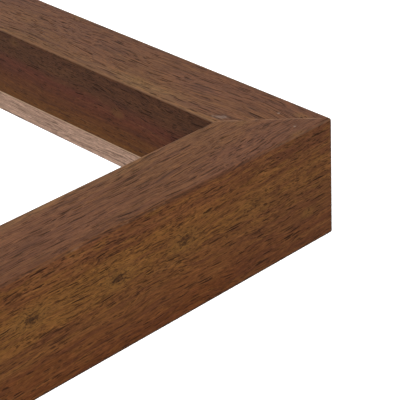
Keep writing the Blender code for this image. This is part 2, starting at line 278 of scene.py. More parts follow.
# Screen colours; the bands run across each surface, from the front backwards on the outer side and
# in the well, and from the outer side inwards on the face
OUTER_BANDS = (
    (0.00, (118, 73, 45)),
    (0.15, (118, 74, 40)),
    (0.33, (127, 84, 42)),
    (0.50, (122, 79, 41)),
    (0.66, (113, 70, 39)),
    (0.82, (108, 63, 34)),
    (1.00, (101, 57, 29)),
)
FRONT_BANDS = (
    (0.00, (108, 67, 40)),
    (0.40, (114, 73, 44)),
    (0.68, (118, 77, 45)),
    (0.88, (123, 83, 49)),
    (1.00, (134, 97, 60)),
)
WELL_BANDS = (
    (0.00, (74, 45, 27)),
    (0.32, (76, 46, 27)),
    (0.47, (84, 43, 28)),
    (0.62, (83, 44, 23)),
    (0.80, (88, 51, 20)),
    (1.00, (95, 57, 19)),
)
RED_END = (100, 63, 41)
RAW_WOOD = (177, 146, 127)
DARK_BAND = (84, 49, 36)
PALE_BAND = (126, 86, 52)
GOLDEN = (132, 90, 44)
RUDDY = (90, 52, 34)
BLUSH = (117, 75, 53)
PORE = (40, 23, 14)
BURR_HALO = (134, 95, 50)
BURR_CORE = (42, 29, 22)
# Painted shade: a dark line along the arrises, where they turn away from the light
ARRIS_SHADE = (48, 33, 27)
# Pale arrises: partly wear that rubbed the finish thin, partly painted highlight
RUBBED_WOOD_AND_HIGHLIGHT = (158, 121, 94)
# The lip's bare arris, brightened further by a painted highlight
LIP_ARRIS = (188, 158, 124)
GLUE_MARK = (158, 142, 132)
GLUE_DARK = (112, 80, 58)
GLUE_PALE = (158, 124, 98)

# How much of the light the dark lines of the grain let back, in red, green and blue
LINE_TINT = (0.42, 0.36, 0.34)

# Layers of open vessels: how wide and how long their cells are, in millimetres, and the radius of
# the largest vessel as a share of its cell
LONG_PORES = (0.80, 26.0, 0.33)
LARGE_PORES = (1.05, 15.0, 0.35)
SMALL_PORES = (0.80, 5.5, 0.36)
SHORT_PORES = (0.70, 3.7, 0.38)
FLECKS = (0.60, 2.4, 0.40)

# How far the grain leans from a side's length, as shares of it, and how many millimetres its slow,
# quick and knotted waves span
GRAIN_LEAN = (0.025, -0.02)
SLOW_BEND = 9
QUICK_BEND = 2
KNOT_BEND = 5

# A row of small burrs along each outer side, in millimetres; a burr is stretched along the grain,
# and each reach is where a mask starts and where it is full
BURR_SPACING = 36.0
BURR_START = -29.0
BURR_DEPTH = -6.0
BURR_SCATTER = 4.0
BURR_STRETCH = 1.7
BURR_RAGGED = 2.6
BURR_CORE_REACH = (2.6, 0.7)
BURR_SWIRL_REACH = (7.5, 1.0)

# The middle of a stile's glue smears, in millimetres from the well's edge and from the mitre
SMEAR_INSET = 4.5
SMEAR_FROM_MITRE = 3.4
SMEAR_REACH = (2.4, 0.2)
SMEAR_RAGGED = 3.0

PORE_DEPTH = 0.00012


def seen(colour, light=1.0):
    """The linear colour of a surface that shows a screen colour under a share of the face's light."""
    return tuple(value / (FACE_LIGHT * light) for value in srgb(*colour))


def paint(colour, light=1.0):
    return solid(seen(colour, light))


def rail_coordinates(g, turn):
    """Millimetres in a side's own axes: X in from its outer face, Y front to back, Z along it."""
    turned = Matrix.Rotation(math.radians(-turn), 4, "Y")
    shift = turned @ section.outer_middle(turn) * (-1 / MM)
    inputs = {
        "Vector": g.place(),
        "Scale": (1 / MM, 1 / MM, 1 / MM),
        "Rotation": (0, math.radians(-turn), 0),
        "Location": shift,
    }
    return g.node("ShaderNodeMapping", inputs).outputs[0]


def burr_masks(g, place, turn, seed):
    """1 in the dark middle of each small burr, and 1 where the fibres swirl round it."""
    x, depth, along = g.split(place)
    number = g.math("ROUND", g.math("DIVIDE", g.minus(along, BURR_START), BURR_SPACING))
    white = {"W": g.plus(number, seed * 17.0)}
    luck = g.node("ShaderNodeTexWhiteNoise", white, noise_dimensions="1D").outputs["Color"]
    luck = g.channels(luck)
    scatter = g.remap(luck[0], -BURR_SCATTER, BURR_SCATTER)
    middle = g.plus(g.product(number, BURR_SPACING), BURR_START, scatter)
    level = g.remap(luck[1], BURR_DEPTH - BURR_SCATTER, BURR_DEPTH + BURR_SCATTER)
    off_along = g.math("DIVIDE", g.minus(along, middle), BURR_STRETCH)
    ragged = g.grains(place, 1.1, 2.4)["Fac"]
    reach = g.length(off_along, g.minus(depth, level))
    reach = g.plus(reach, g.remap(ragged, -BURR_RAGGED, BURR_RAGGED))
    to_end = g.minus(section.half_length(turn) / MM, g.math("ABSOLUTE", along))
    strength = g.product(g.step(x, 3.0, 1.0), g.remap(luck[2], 0.65, 1.1), g.step(to_end, 15.0, 75.0))
    core = g.product(g.step(reach, *BURR_CORE_REACH), strength)
    swirl = g.product(g.step(reach, *BURR_SWIRL_REACH), strength)
    cells = g.cells(place, 19, 33, (seed * 3.1, seed * 7.7, seed * 5.3))
    scattered = g.product(g.step(cells["Distance"], 0.17, 0.05), 0.7)
    return core, g.greatest(swirl, scattered)


def grain_coordinates(g, place, seed, swirl):
    """The same millimetres, moved to the seed's own part of the log and bent with its fibres."""
    moved = g.stretch(place, (1, 1, 1), (seed * 61.0, seed * 37.0, seed * 211.0))
    along = g.split(moved)[2]
    lean = {axis: g.product(along, share) for axis, share in enumerate(GRAIN_LEAN)}
    bent = g.add(moved, g.node("ShaderNodeCombineXYZ", lean).outputs[0])
    slow = g.centred(g.grains(moved, 30, 75, 1.0)["Color"])
    quick = g.centred(g.grains(moved, 5, 14, 1.0)["Color"])
    knotty = g.times(g.centred(g.grains(moved, 2.2, 3.5, 1.0)["Color"]), swirl)
    for wave, size in ((slow, SLOW_BEND), (quick, QUICK_BEND), (knotty, KNOT_BEND)):
        bent = g.add(bent, g.times(wave, (size, size, 0)))
    return bent


def pore_layer(g, grain, layer, share):
    """Open vessels cut lengthwise: short dark strokes along the grain, 1 inside and 0 outside."""
    across, along, radius = layer
    cells = g.cells(grain, across, along)
    luck = g.channels(cells["Color"])
    size = g.remap(luck[0], radius * 0.55, radius)
    inside = g.math("DIVIDE", g.minus(size, cells["Distance"]), g.product(size, 0.25), clamp=True)
    chosen = g.math("LESS_THAN", luck[1], share)
    return g.product(inside, chosen, g.remap(luck[2], 0.5, 1.0))


def face_masks(g, x, depth):
    """How much a point belongs to the face, to the well's wall, and to wood left unfinished."""
    down = g.minus(depth, section.front / MM)
    in_from_wall = g.minus(section.face / MM, x)
    inner_half = g.math("GREATER_THAN", x, section.face / MM / 2)
    face = g.step(g.minus(x, down), -0.8, 0.8)
    wall = g.product(g.step(g.minus(down, in_from_wall), -0.5, 0.5), inner_half)
    behind = g.step(depth, section.shoulder / MM - 1.0, section.shoulder / MM - 0.8)
    inside = g.step(x, section.wall / MM - 0.75, section.wall / MM - 0.45)
    back = g.step(depth, section.back / MM - 0.45, section.back / MM - 0.15)
    return face, wall, g.greatest(g.product(behind, inside), back)


def near_edge(g, across, down, inner, outer):
    """1 on an arris and 0 away from it: across and down are distances from its sharp corner,
    inner and outer are shares of its radius."""
    return g.step(g.length(across, down), outer * ARRIS / MM, inner * ARRIS / MM)


def edge_masks(g, place, turn):
    """Where the arrises are rubbed pale, partly by wear and partly as a painted highlight, where
    painted shade darkens them, where the mitre was sanded flush, and the pale arris of the lip under
    the well's wall, bare wood with a painted highlight; also how far off the mitre is."""
    x, depth, along = g.split(place)
    down = g.minus(depth, section.front / MM)
    up = g.minus(section.back / MM, depth)
    in_from_wall = g.minus(section.face / MM, x)
    in_from_rebate = g.minus(section.wall / MM, x)
    above_shoulder = g.minus(section.shoulder / MM, depth)
    to_end = g.minus(section.half_length(turn) / MM, g.math("ABSOLUTE", along))
    to_mitre = g.math("DIVIDE", g.minus(to_end, x), math.sqrt(2))
    patchy = g.grains(place, 3, 9, 3.0, 0.6)["Fac"]

    outer_front = near_edge(g, x, down, 0.43, 0.74)
    inner_front = near_edge(g, in_from_wall, down, 0.42, 0.80)
    outer_back = near_edge(g, x, up, 0.55, 1.10)
    inner_back = near_edge(g, in_from_rebate, up, 0.50, 0.95)
    corner_edge = near_edge(g, x, to_end, 0.45, 1.00)
    lip = near_edge(g, in_from_wall, above_shoulder, 0.66, 0.96)

    # Pale on the outer front arris near the corners and in patches, and on the inner front arris:
    # partly rubbed wear, partly painted highlight
    worn_and_highlit = g.greatest(g.step(to_end, 62.0, 12.0), g.step(patchy, 0.62, 0.70))
    outer_rubbed_and_highlit = g.product(outer_front, worn_and_highlit, g.remap(patchy, 0.1, 0.7))
    rubbed_and_highlit = g.greatest(outer_rubbed_and_highlit, g.product(inner_front, g.remap(patchy, 0.55, 1.2)))
    # Painted shade along the arrises: the rest of the outer front arris, the outer back arris, the
    # corner's arris and, fainter, the rebate's back arris
    outer_arris_shade = g.product(g.minus(outer_front, outer_rubbed_and_highlit), g.remap(patchy, 0.05, 1.15))
    arris_shade = g.greatest(outer_arris_shade, outer_back, corner_edge, g.product(inner_back, 0.70))
    sanded = g.product(g.step(to_mitre, 0.42, 0.20), g.step(patchy, 0.40, 0.60))
    return rubbed_and_highlit, arris_shade, sanded, g.product(lip, g.remap(patchy, 0.35, 1.35)), to_mitre


def glue_marks(g, place, to_mitre, finished, turn):
    """Pale specks of glue that dried near the mitres, and on the stiles a faint smear of it."""
    x, depth, _ = g.split(place)
    cells = g.cells(place, 5, 5)
    spot = g.step(cells["Distance"], 0.16, 0.05)
    chosen = g.math("LESS_THAN", g.channels(cells["Color"])[0], 0.20)
    near = g.product(g.step(to_mitre, 11.0, 7.0), g.step(x, 1.5, 3.0), finished)
    specks = g.product(spot, chosen, near, 0.6)
    if turn not in (0, 180):
        return specks
    across = g.minus(section.face / MM - SMEAR_INSET, x)
    aside = g.minus(to_mitre, SMEAR_FROM_MITRE)
    ragged = g.remap(g.grains(place, 1.4, 2.0, 3.0, 0.6)["Fac"], -SMEAR_RAGGED, SMEAR_RAGGED)
    reach = g.plus(g.length(across, aside), ragged)
    on_face = g.step(depth, section.front / MM + 2, section.front / MM)
    return g.greatest(specks, g.product(g.step(reach, *SMEAR_REACH), on_face, 0.38))


def growth_colours(g, x, depth, to_mitre, broad, face, wall):
    """Broad bands of heartwood colour, laid out over the outer side, the face and the well."""
    down = g.minus(depth, section.front / MM)
    wander = g.remap(broad, -0.42, 0.42)
    side_place = g.plus(g.math("DIVIDE", down, section.depth / MM), wander)
    face_place = g.plus(g.math("DIVIDE", x, section.face / MM), wander)
    wall_depth = (section.shoulder - section.front) / MM
    wall_place = g.plus(g.math("DIVIDE", down, wall_depth), g.remap(broad, -0.15, 0.15))
    outer = g.ramp(side_place, [(at, seen(colour)) for at, colour in OUTER_BANDS])
    redder = g.product(g.step(to_mitre, 52.0, 16.0), g.remap(broad, 0.75, 0.15))
    outer = g.mix(redder, outer, paint(RED_END))
    front = g.ramp(face_place, [(at, seen(colour)) for at, colour in FRONT_BANDS])
    well = g.ramp(wall_place, [(at, seen(colour, WALL_LIGHT)) for at, colour in WELL_BANDS])
    return g.mix(wall, g.mix(face, outer, front), well)


def streaks(g, grain, colour, face, wall, raw, rear):
    """Growth bands, fine lines and fibres, with golden mottling on the outer side's front half."""
    side = g.minus(1.0, g.greatest(face, wall, raw), clamp=True)
    side = g.product(side, g.remap(rear, 1.0, 0.40))
    bands = g.grains(grain, 2.2, 60, 3.0, 0.6, (5, 2, 0))["Fac"]
    lines = g.grains(grain, 0.6, 30, 3.0, 0.65)["Fac"]
    fibres = g.grains(grain, 0.40, 13, 2.0, 0.7)["Fac"]
    curls = g.grains(grain, 0.6, 2.2, 2.0, 0.6)["Fac"]
    mottle = g.grains(grain, 1.6, 8, 3.0, 0.6, (7, 4, 2))["Fac"]
    blush = g.grains(grain, 14, 50, 2.0, 0.5, (2, 6, 8))["Fac"]

    tints = (
        (g.step(bands, 0.52, 0.36), 0.42, DARK_BAND),
        (g.step(bands, 0.52, 0.68), g.remap(side, 0.22, 0.35), PALE_BAND),
        (g.step(mottle, 0.50, 0.66), g.product(side, 0.40), GOLDEN),
        (g.step(mottle, 0.50, 0.36), g.product(side, 0.35), RUDDY),
        (g.step(blush, 0.42, 0.60), g.product(face, 0.45), BLUSH),
    )
    for where, strength, tint in tints:
        colour = g.mix(g.product(where, strength), colour, paint(tint))
    dark_line = g.product(g.step(lines, 0.50, 0.36), g.greatest(face, raw), 0.50)
    colour = g.mix(dark_line, colour, g.mix(1.0, colour, solid(LINE_TINT), "MULTIPLY"))
    curl = g.product(g.minus(curls, 0.5), g.remap(face, 1.0, 0.6))
    tone = g.product(g.remap(lines, 0.45, 1.55), g.remap(fibres, 0.35, 1.65), g.plus(curl, 1.0))
    return g.mix(1.0, colour, tone, "MULTIPLY"), fibres


def vessels(g, grain, depth, face, wall, raw, rear, swirl):
    """Open vessels of several lengths: long thin lines on the face, short flecks on the side."""
    crowd = g.grains(grain, 6, 34, 2.0, 0.5, (3, 9, 1))["Fac"]
    low_in_well = g.product(wall, g.step(depth, section.front / MM + 8, section.front / MM + 15))
    share = g.product(g.remap(crowd, 0.20, 1.60), g.remap(low_in_well, 1.0, 0.3))
    share = g.greatest(share, swirl)
    long_pores = g.product(pore_layer(g, grain, LONG_PORES, g.product(share, 1.5)), face, 0.95)
    large = pore_layer(g, grain, LARGE_PORES, share)
    small = g.product(pore_layer(g, grain, SMALL_PORES, share), g.remap(face, 0.85, 0.60))
    short = g.product(pore_layer(g, grain, SHORT_PORES, share), 0.85)
    flecks = g.product(pore_layer(g, grain, FLECKS, share), 0.65)
    brief = g.product(g.greatest(short, flecks), g.remap(g.greatest(face, rear), 1.0, 0.35))
    pores = g.greatest(large, long_pores, small, brief)
    return g.product(pores, g.remap(raw, 1.0, 0.4), g.remap(wall, 1.0, 0.9))


def hardwood(name, turn, seed):
    """One side's wood: the turn says which side it is, and the seed which part of the log."""
    g = Graph(name)
    place = rail_coordinates(g, turn)
    x, depth, _ = g.split(place)
    face, wall, raw = face_masks(g, x, depth)
    rear = g.product(g.step(x, 3.0, 1.0), g.step(depth, -3.0, 11.0))
    finished = g.minus(1.0, raw)
    rubbed_and_highlit, arris_shade, sanded, lip, to_mitre = edge_masks(g, place, turn)
    core, swirl = burr_masks(g, place, turn, seed)
    swirl = g.product(swirl, finished)
    grain = grain_coordinates(g, place, seed, swirl)

    broad = g.grains(grain, 11, 85, 3.0, 0.55)["Fac"]
    colour = growth_colours(g, x, depth, to_mitre, broad, face, wall)
    face = g.product(face, g.minus(1.0, wall))
    colour = g.mix(raw, colour, paint(RAW_WOOD, WALL_LIGHT))
    colour, fibres = streaks(g, grain, colour, face, wall, raw, rear)
    pores = vessels(g, grain, depth, face, wall, raw, rear, swirl)
    colour = g.mix(g.product(pores, 0.95), colour, paint(PORE))

    feathered = g.math("MULTIPLY", core, g.remap(fibres, 2.7, -0.5), clamp=True)
    halo = g.product(g.minus(swirl, core, clamp=True), g.remap(pores, 0.55, 0.0))
    colour = g.mix(halo, colour, paint(BURR_HALO))
    smudge = g.greatest(feathered, g.product(swirl, 0.06))
    colour = g.mix(g.product(smudge, 0.82), colour, paint(BURR_CORE))
    # Painted shade along the arrises
    colour = g.mix(g.product(arris_shade, 0.75), colour, paint(ARRIS_SHADE))
    # Pale rubbed arrises, partly wear and partly painted highlight, and the sanded mitre
    pale = g.greatest(g.product(rubbed_and_highlit, 0.50), g.product(sanded, 0.75))
    colour = g.mix(g.product(pale, finished), colour, paint(RUBBED_WOOD_AND_HIGHLIGHT))
    # The lip's bare arris with a painted highlight
    colour = g.mix(lip, colour, paint(LIP_ARRIS, WALL_LIGHT))
    marks = glue_marks(g, place, to_mitre, finished, turn)
    colour = g.mix(marks, colour, paint(GLUE_MARK))

    g.bump(g.minus(g.product(fibres, 0.25), pores), PORE_DEPTH, 0.6)
    rough = g.plus(g.product(pores, 0.3), g.remap(fibres, 0.38, 0.50), g.product(raw, 0.25))
    return g.finish(colour, rough, Specular_IOR_Level=0.06)


# ---------------------------------------------------------------- metals, rubber and glue

# How many grains of each noise fit in a metre along each axis
METAL_CLOUDS = (420, 420, 420)
METAL_GRIT = (5200, 5200, 5200)
METAL_SCRATCHES = (9000, 1400, 500)
RUBBER_CLOUDS = (2200, 2200, 2200)
RUBBER_PEBBLES = (5200, 5200, 5200)
GLUE_CLOUDS = (350, 350, 350)

SCRATCH_DEPTH = 0.00002
PEBBLE_DEPTH = 0.00004

# Each metal's clean colour, tarnished colour and roughness
NAIL_STEEL = ((0.24, 0.24, 0.25), (0.16, 0.15, 0.14), 0.36)
SCREW_STEEL = ((0.58, 0.57, 0.53), (0.50, 0.49, 0.44), 0.26)
BUTTON_ZINC = ((0.62, 0.62, 0.60), (0.52, 0.52, 0.50), 0.30)
STRAP_ZINC = ((0.60, 0.60, 0.58), (0.51, 0.51, 0.49), 0.30)
RING_NICKEL = ((0.66, 0.62, 0.56), (0.56, 0.52, 0.46), 0.20)

RUBBER_BLACK = (0.010, 0.010, 0.011)
RUBBER_BLOOM = (0.034, 0.033, 0.032)


def plated_steel(name, colour, tarnish, rough):
    """Plated sheet or wire: soft clouding, faint drawn scratches and uneven gloss."""
    g = Graph(name)
    cloud = g.noise(g.stretch(g.place(), METAL_CLOUDS), 4.0, 0.6)["Fac"]
    grit = g.noise(g.stretch(g.place(), METAL_GRIT), 2.0, 0.6)["Fac"]
    scratch = g.noise(g.stretch(g.place(), METAL_SCRATCHES), 3.0, 0.7)["Fac"]
    tint = g.mix(g.step(cloud, 0.36, 0.68), solid(colour), solid(tarnish))
    tint = g.mix(1.0, tint, g.remap(grit, 0.80, 1.15), "MULTIPLY")
    g.bump(g.plus(g.product(scratch, 0.6), g.product(grit, 0.4)), SCRATCH_DEPTH, 0.35)
    roughness = g.plus(g.remap(scratch, rough * 0.6, rough * 1.3), g.remap(cloud, -0.04, 0.10))
    return g.finish(tint, roughness, Metallic=1.0)


def moulded_rubber(name):
    """Black rubber with a fine pebbled skin and a pale bloom in patches."""
    g = Graph(name)
    cloud = g.noise(g.stretch(g.place(), RUBBER_CLOUDS), 3.0)["Fac"]
    pebble = g.voronoi(g.stretch(g.place(), RUBBER_PEBBLES))["Distance"]
    tint = g.mix(g.step(cloud, 0.35, 0.75), solid(RUBBER_BLACK), solid(RUBBER_BLOOM))
    g.bump(g.plus(pebble, cloud), PEBBLE_DEPTH, 0.5)
    return g.finish(tint, g.remap(cloud, 0.50, 0.82), Specular_IOR_Level=0.4)


def dried_glue(name):
    g = Graph(name)
    patchy = g.noise(g.stretch(g.place(), GLUE_CLOUDS), 3.0, 0.6)["Fac"]
    tint = g.mix(g.step(patchy, 0.35, 0.65), paint(GLUE_DARK), paint(GLUE_PALE))
    return g.finish(tint, g.remap(patchy, 0.45, 0.65), Specular_IOR_Level=0.2)


def dress(node, material):
    """Gives a CAD node its finish."""
    mesh = frame["nodes"][node].data
    mesh.materials.clear()
    mesh.materials.append(material)


# ---------------------------------------------------------------- shapes

HOLE_SEGMENTS = 48


def new_object(name, data):
    ob = bpy.data.objects.new(name, data)
    bpy.context.scene.collection.objects.link(ob)
    return ob


def mesh_from(name, bm):
    bmesh.ops.recalc_face_normals(bm, faces=bm.faces)
    mesh = bpy.data.meshes.new(name)
    bm.to_mesh(mesh)
    bm.free()
    return mesh


def baked(ob, *cutters):
    """The object's shape after its modifiers, as a mesh; the object and its cutters go."""
    bpy.context.view_layer.update()
    evaluated = ob.evaluated_get(bpy.context.evaluated_depsgraph_get())
    mesh = bpy.data.meshes.new_from_object(evaluated)
    for used in (ob, *cutters):
        bpy.data.objects.remove(used, do_unlink=True)
    return mesh


def combine(ob, other, operation):
    boolean = ob.modifiers.new(other.name, "BOOLEAN")
    boolean.object = other
    boolean.operation = operation
    boolean.solver = "EXACT"


def ease_edges(ob, width, segments=2):
    bevel = ob.modifiers.new("ease", "BEVEL")
    bevel.width = width
    bevel.segments = segments
    bevel.angle_limit = math.radians(40)


def smooth(mesh, angle=35):
    mesh.shade_smooth()
    mesh.set_sharp_from_angle(angle=math.radians(angle))
    return mesh


def arc(centre, radius, start, sweep, steps):
    """Points along an arc in a plane, both ends included; angles are in radians."""
    points = []
    for i in range(steps + 1):
        angle = start + sweep * i / steps
        points.append((centre[0] + radius * math.cos(angle), centre[1] + radius * math.sin(angle)))
    return points


def plate(name, outline, low, high):
    """A flat outline in XY as a closed body between two heights."""
    bm = bmesh.new()
    floor = bm.faces.new([bm.verts.new((x, y, low)) for x, y in outline])
    drawn = bmesh.ops.extrude_face_region(bm, geom=[floor])["geom"]
    moved = [item for item in drawn if isinstance(item, bmesh.types.BMVert)]
    bmesh.ops.translate(bm, verts=moved, vec=(0, 0, high - low))
    return mesh_from(name, bm)


def drill(radius, reach):
    """A cylinder along Z that cuts a hole."""
    bm = bmesh.new()
    bmesh.ops.create_cone(
        bm,
        cap_ends=True,
        segments=HOLE_SEGMENTS,
        radius1=radius,
        radius2=radius,
        depth=reach,
    )
    return new_object("hole", mesh_from("hole", bm))


def turned(name, profile, segments):
    """A profile at +X, listed from the top down, turned about Z into a closed body."""
    bm = bmesh.new()
    verts = [bm.verts.new((r, 0, z)) for r, z in profile]
    edges = [bm.edges.new(pair) for pair in zip(verts, verts[1:])]
    bmesh.ops.spin(
        bm,
        geom=verts + edges,
        cent=(0, 0, 0),
        axis=(0, 0, 1),
        angle=math.tau,
        steps=segments,
        use_merge=True,
    )
    bmesh.ops.remove_doubles(bm, verts=bm.verts, dist=1e-7)
    return mesh_from(name, bm)


def on_back(x, z, height, towards=0.0):
    """Stands a shape on the frame's back: its +Z points out of the back, and its +X is turned
    from the world's +X towards +Z."""
    turn = Matrix.Rotation(-math.pi / 2, 4, "X") @ Matrix.Rotation(-towards, 4, "Z")
    return Matrix.Translation((x, section.back + height, z)) @ turn


def add_piece(name, mesh, place, material, body, node=None):
    ob = new_object(name, mesh)
    if not mesh.materials:
        mesh.materials.append(material)
    ob.matrix_world = place
    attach(ob, body)
    if node:
        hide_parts(node)


def body_of(node):
    """The CAD body that a node belongs to."""
    return frame["nodes"][node]["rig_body"]


def middle_of(node):
    low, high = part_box(node)
    return (low + high) / 2


# ---------------------------------------------------------------- mitres

# Glue in the mitres: thickness, and how far it stays below the wood's surface
GLUE_SHEET = 0.00007
GLUE_SINK = 0.00004

# Where the corner nails pass through the mitre, in from the outer face and in from the back
NAIL_ROOM = (0.0050, 0.0182)
NAIL_ROOM_DEPTH = 0.0112


def glue_outline():
    """The moulding's section in the mitre's plane, notched where the corner nails pass."""
    low, high = section.front + GLUE_SINK, section.back - GLUE_SINK
    corner_edge = ARRIS * (1 - math.sqrt(0.5))
    outer, inner = corner_edge + GLUE_SINK, section.face - GLUE_SINK
    wall = section.wall - GLUE_SINK
    shoulder = section.shoulder - GLUE_SINK
    notch = section.back - NAIL_ROOM_DEPTH

    def rounded(x, y, across, up):
        """An eased corner whose arc's middle lies across and up from it, listed anticlockwise."""
        start = {(1, 1): 180, (-1, 1): 270, (-1, -1): 0, (1, -1): 90}[(across, up)]
        middle = (x + across * ARRIS, y + up * ARRIS)
        return arc(middle, ARRIS, math.radians(start), math.pi / 2, 6)

    outline = [
        *rounded(outer, low, 1, 1),
        *rounded(inner, low, -1, 1),
        *rounded(inner, shoulder, -1, -1),
        (wall, shoulder),
        *rounded(wall, high, -1, -1),
        (NAIL_ROOM[1], high),
        (NAIL_ROOM[1], notch),
        (NAIL_ROOM[0], notch),
        (NAIL_ROOM[0], high),
        *rounded(outer, high, 1, -1),
    ]
    return [(x * math.sqrt(2), y) for x, y in outline]


def add_glue_lines(material):
    """One sheet in each corner's mitre, square to the bisector of its two sides."""
    mesh = plate("glue_line", glue_outline(), -GLUE_SHEET / 2, GLUE_SHEET / 2)
    for across, x in (("left", -1), ("right", 1)):
        for along, z in (("bottom", -1), ("top", 1)):
            corner_x = section.left if x < 0 else section.right
            corner_z = section.bottom if z < 0 else section.top
            inwards = Vector((-x, 0, -z)).normalized()
            depth = Vector((0, 1, 0))
            axes = Matrix((inwards, depth, inwards.cross(depth))).transposed().to_4x4()
            place = Matrix.Translation((corner_x, 0, corner_z)) @ axes
            add_piece(f"glue_line_{along}_{across}", mesh, place, material, "frame")


# ---------------------------------------------------------------- screws

SCREW_HEAD = 0.0016
SCREW_SEGMENTS = 40

# The head's crown, in head radii and radians
CROWN_RADIUS = 2.6
CROWN_SWEEP = 0.27

# The head's rounded shoulder: where it ends, as a share of the head's height, its radius as a
# multiple of that level, and its sweep
SHOULDER_LEVEL = 0.28
SHOULDER_RADIUS = 1.4
SHOULDER_SWEEP = math.radians(58)
HEAD_CHAMFER = 0.00008
HEAD_EASE = 0.00004

# The cross recess, and how much narrower its floor is
RECESS_LENGTH = 0.0032
RECESS_WIDTH = 0.0007
RECESS_DEPTH = 0.0010
RECESS_TAPER = 0.55
RECESS_TURN = math.radians(31)

SHANK_RADIUS = 0.0014
SHANK_OVERLAP = 0.0003
SHANK_SEGMENTS = 24
SHANK_ROWS = 96
THREAD_ROOT = 0.0010
THREAD_PITCH = 0.0011
THREAD_POINT = 0.0034
THREAD_LENGTH = 0.0095
POINT_RADIUS = 0.00002

# How far each screw is turned from the last one, in radians
SCREW_TURN = 0.9


def screw_head(radius):
    """A pan head with rounded shoulders and a tapered cross recess; Z = 0 is under it."""
    dome = CROWN_RADIUS * radius
    crown = arc((0, SCREW_HEAD - dome), dome, math.pi / 2, -CROWN_SWEEP, 8)
    edge = SHOULDER_LEVEL * SCREW_HEAD
    ease = SHOULDER_RADIUS * edge
    shoulder = arc((radius - ease, edge), ease, SHOULDER_SWEEP, -SHOULDER_SWEEP, 8)
    under = [(radius, HEAD_CHAMFER), (radius - HEAD_CHAMFER, 0), (0, 0)]
    profile = [*crown, *shoulder, *under]
    head = new_object("head", turned("head", profile, SCREW_SEGMENTS))
    wings = []
    for number in range(2):
        bm = bmesh.new()
        bmesh.ops.create_cube(bm, size=1.0)
        for vert in bm.verts:
            narrow = RECESS_TAPER if vert.co.z < 0 else 1.0
            vert.co.x *= RECESS_LENGTH * narrow
            vert.co.y *= RECESS_WIDTH * (narrow + 1) / 2
            vert.co.z *= 2 * RECESS_DEPTH
        wing = new_object("wing", mesh_from("wing", bm))
        wing.location = (0, 0, SCREW_HEAD)
        wing.rotation_euler = (0, 0, RECESS_TURN + number * math.pi / 2)
        combine(head, wing, "DIFFERENCE")
        wings.append(wing)
    ease_edges(head, HEAD_EASE, 1)
    return baked(head, *wings)


def threaded_shank(length):
    """A shank hanging from Z = 0, with a single thread that ends in a point."""
    bm = bmesh.new()
    rings = []
    for row in range(SHANK_ROWS + 1):
        z = -length * row / SHANK_ROWS
        to_point = length + z
        taper = min(1.0, to_point / THREAD_POINT)
        cut_in = min(1.0, max(0.0, (THREAD_LENGTH - to_point) / THREAD_PITCH))
        ring = []
        for step in range(SHANK_SEGMENTS):
            angle = math.tau * step / SHANK_SEGMENTS
            wave = math.cos(math.tau * z / THREAD_PITCH - angle)
            crest = max(0.0, wave) ** 3
            root = SHANK_RADIUS + (THREAD_ROOT - SHANK_RADIUS) * cut_in * (1 - crest)
            radius = max(root * taper, POINT_RADIUS)
            ring.append(bm.verts.new((radius * math.cos(angle), radius * math.sin(angle), z)))
        rings.append(ring)
    for upper, lower in zip(rings, rings[1:]):
        for step in range(SHANK_SEGMENTS):
            after = (step + 1) % SHANK_SEGMENTS
            bm.faces.new((upper[step], upper[after], lower[after], lower[step]))
    bm.faces.new(rings[0])
    bm.faces.new(rings[-1])
    return mesh_from("shank", bm)


def screw_mesh(node):
    low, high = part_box(node)
    radius = (high[0] - low[0]) / 2
    head = new_object("head", screw_head(radius))
    length = high[1] - low[1] - SCREW_HEAD + SHANK_OVERLAP
    shank = new_object("shank", threaded_shank(length))
    shank.location.z = SHANK_OVERLAP
    combine(head, shank, "UNION")
    return smooth(baked(head, shank))


def add_screws(material):
    names = sorted(name for name in frame["nodes"] if "screw" in name)
    mesh = screw_mesh(names[0])
    for number, name in enumerate(names):
        x, _, z = middle_of(name)
        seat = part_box(name)[1][1] - SCREW_HEAD - section.back
        place = on_back(x, z, seat, SCREW_TURN * number)
        add_piece(name + "_look", mesh, place, material, body_of(name), name)


# ---------------------------------------------------------------- turn buttons

# Radii of the button's two round ends and of its hole
BUTTON_HEAD = 0.0046
BUTTON_TIP = 0.0032
BUTTON_HOLE = 0.0019

# The raised rib's length, width and height, and the share of its height that its middle is sunk
BUTTON_RIB = (0.0100, 0.0048, 0.0011)
BUTTON_RIB_SINK = 0.1


def button_mesh(span, sheet):
    """A stamped catch: two round ends, a hole at the origin and a raised rib towards the tip."""
    lean = math.acos((BUTTON_HEAD - BUTTON_TIP) / span)
    head = arc((0, 0), BUTTON_HEAD, lean, math.tau - 2 * lean, 56)
    tip = arc((span, 0), BUTTON_TIP, -lean, 2 * lean, 32)
    ob = new_object("button", plate("button", head + tip, -sheet / 2, sheet / 2))
    hole = drill(BUTTON_HOLE, 4 * sheet)
    combine(ob, hole, "DIFFERENCE")
    ease_edges(ob, STAMPED_EASE)
    flat = new_object("button", baked(ob, hole))
    bm = bmesh.new()
    bmesh.ops.create_uvsphere(bm, u_segments=40, v_segments=20, radius=0.5)
    length, width, height = BUTTON_RIB
    bmesh.ops.scale(bm, verts=bm.verts, vec=(length, width, height))
    rib = new_object("rib", mesh_from("rib", bm))
    rib.location = (span - length / 2, 0, sheet / 2 - height * BUTTON_RIB_SINK)
    combine(flat, rib, "UNION")
    return smooth(baked(flat, rib))


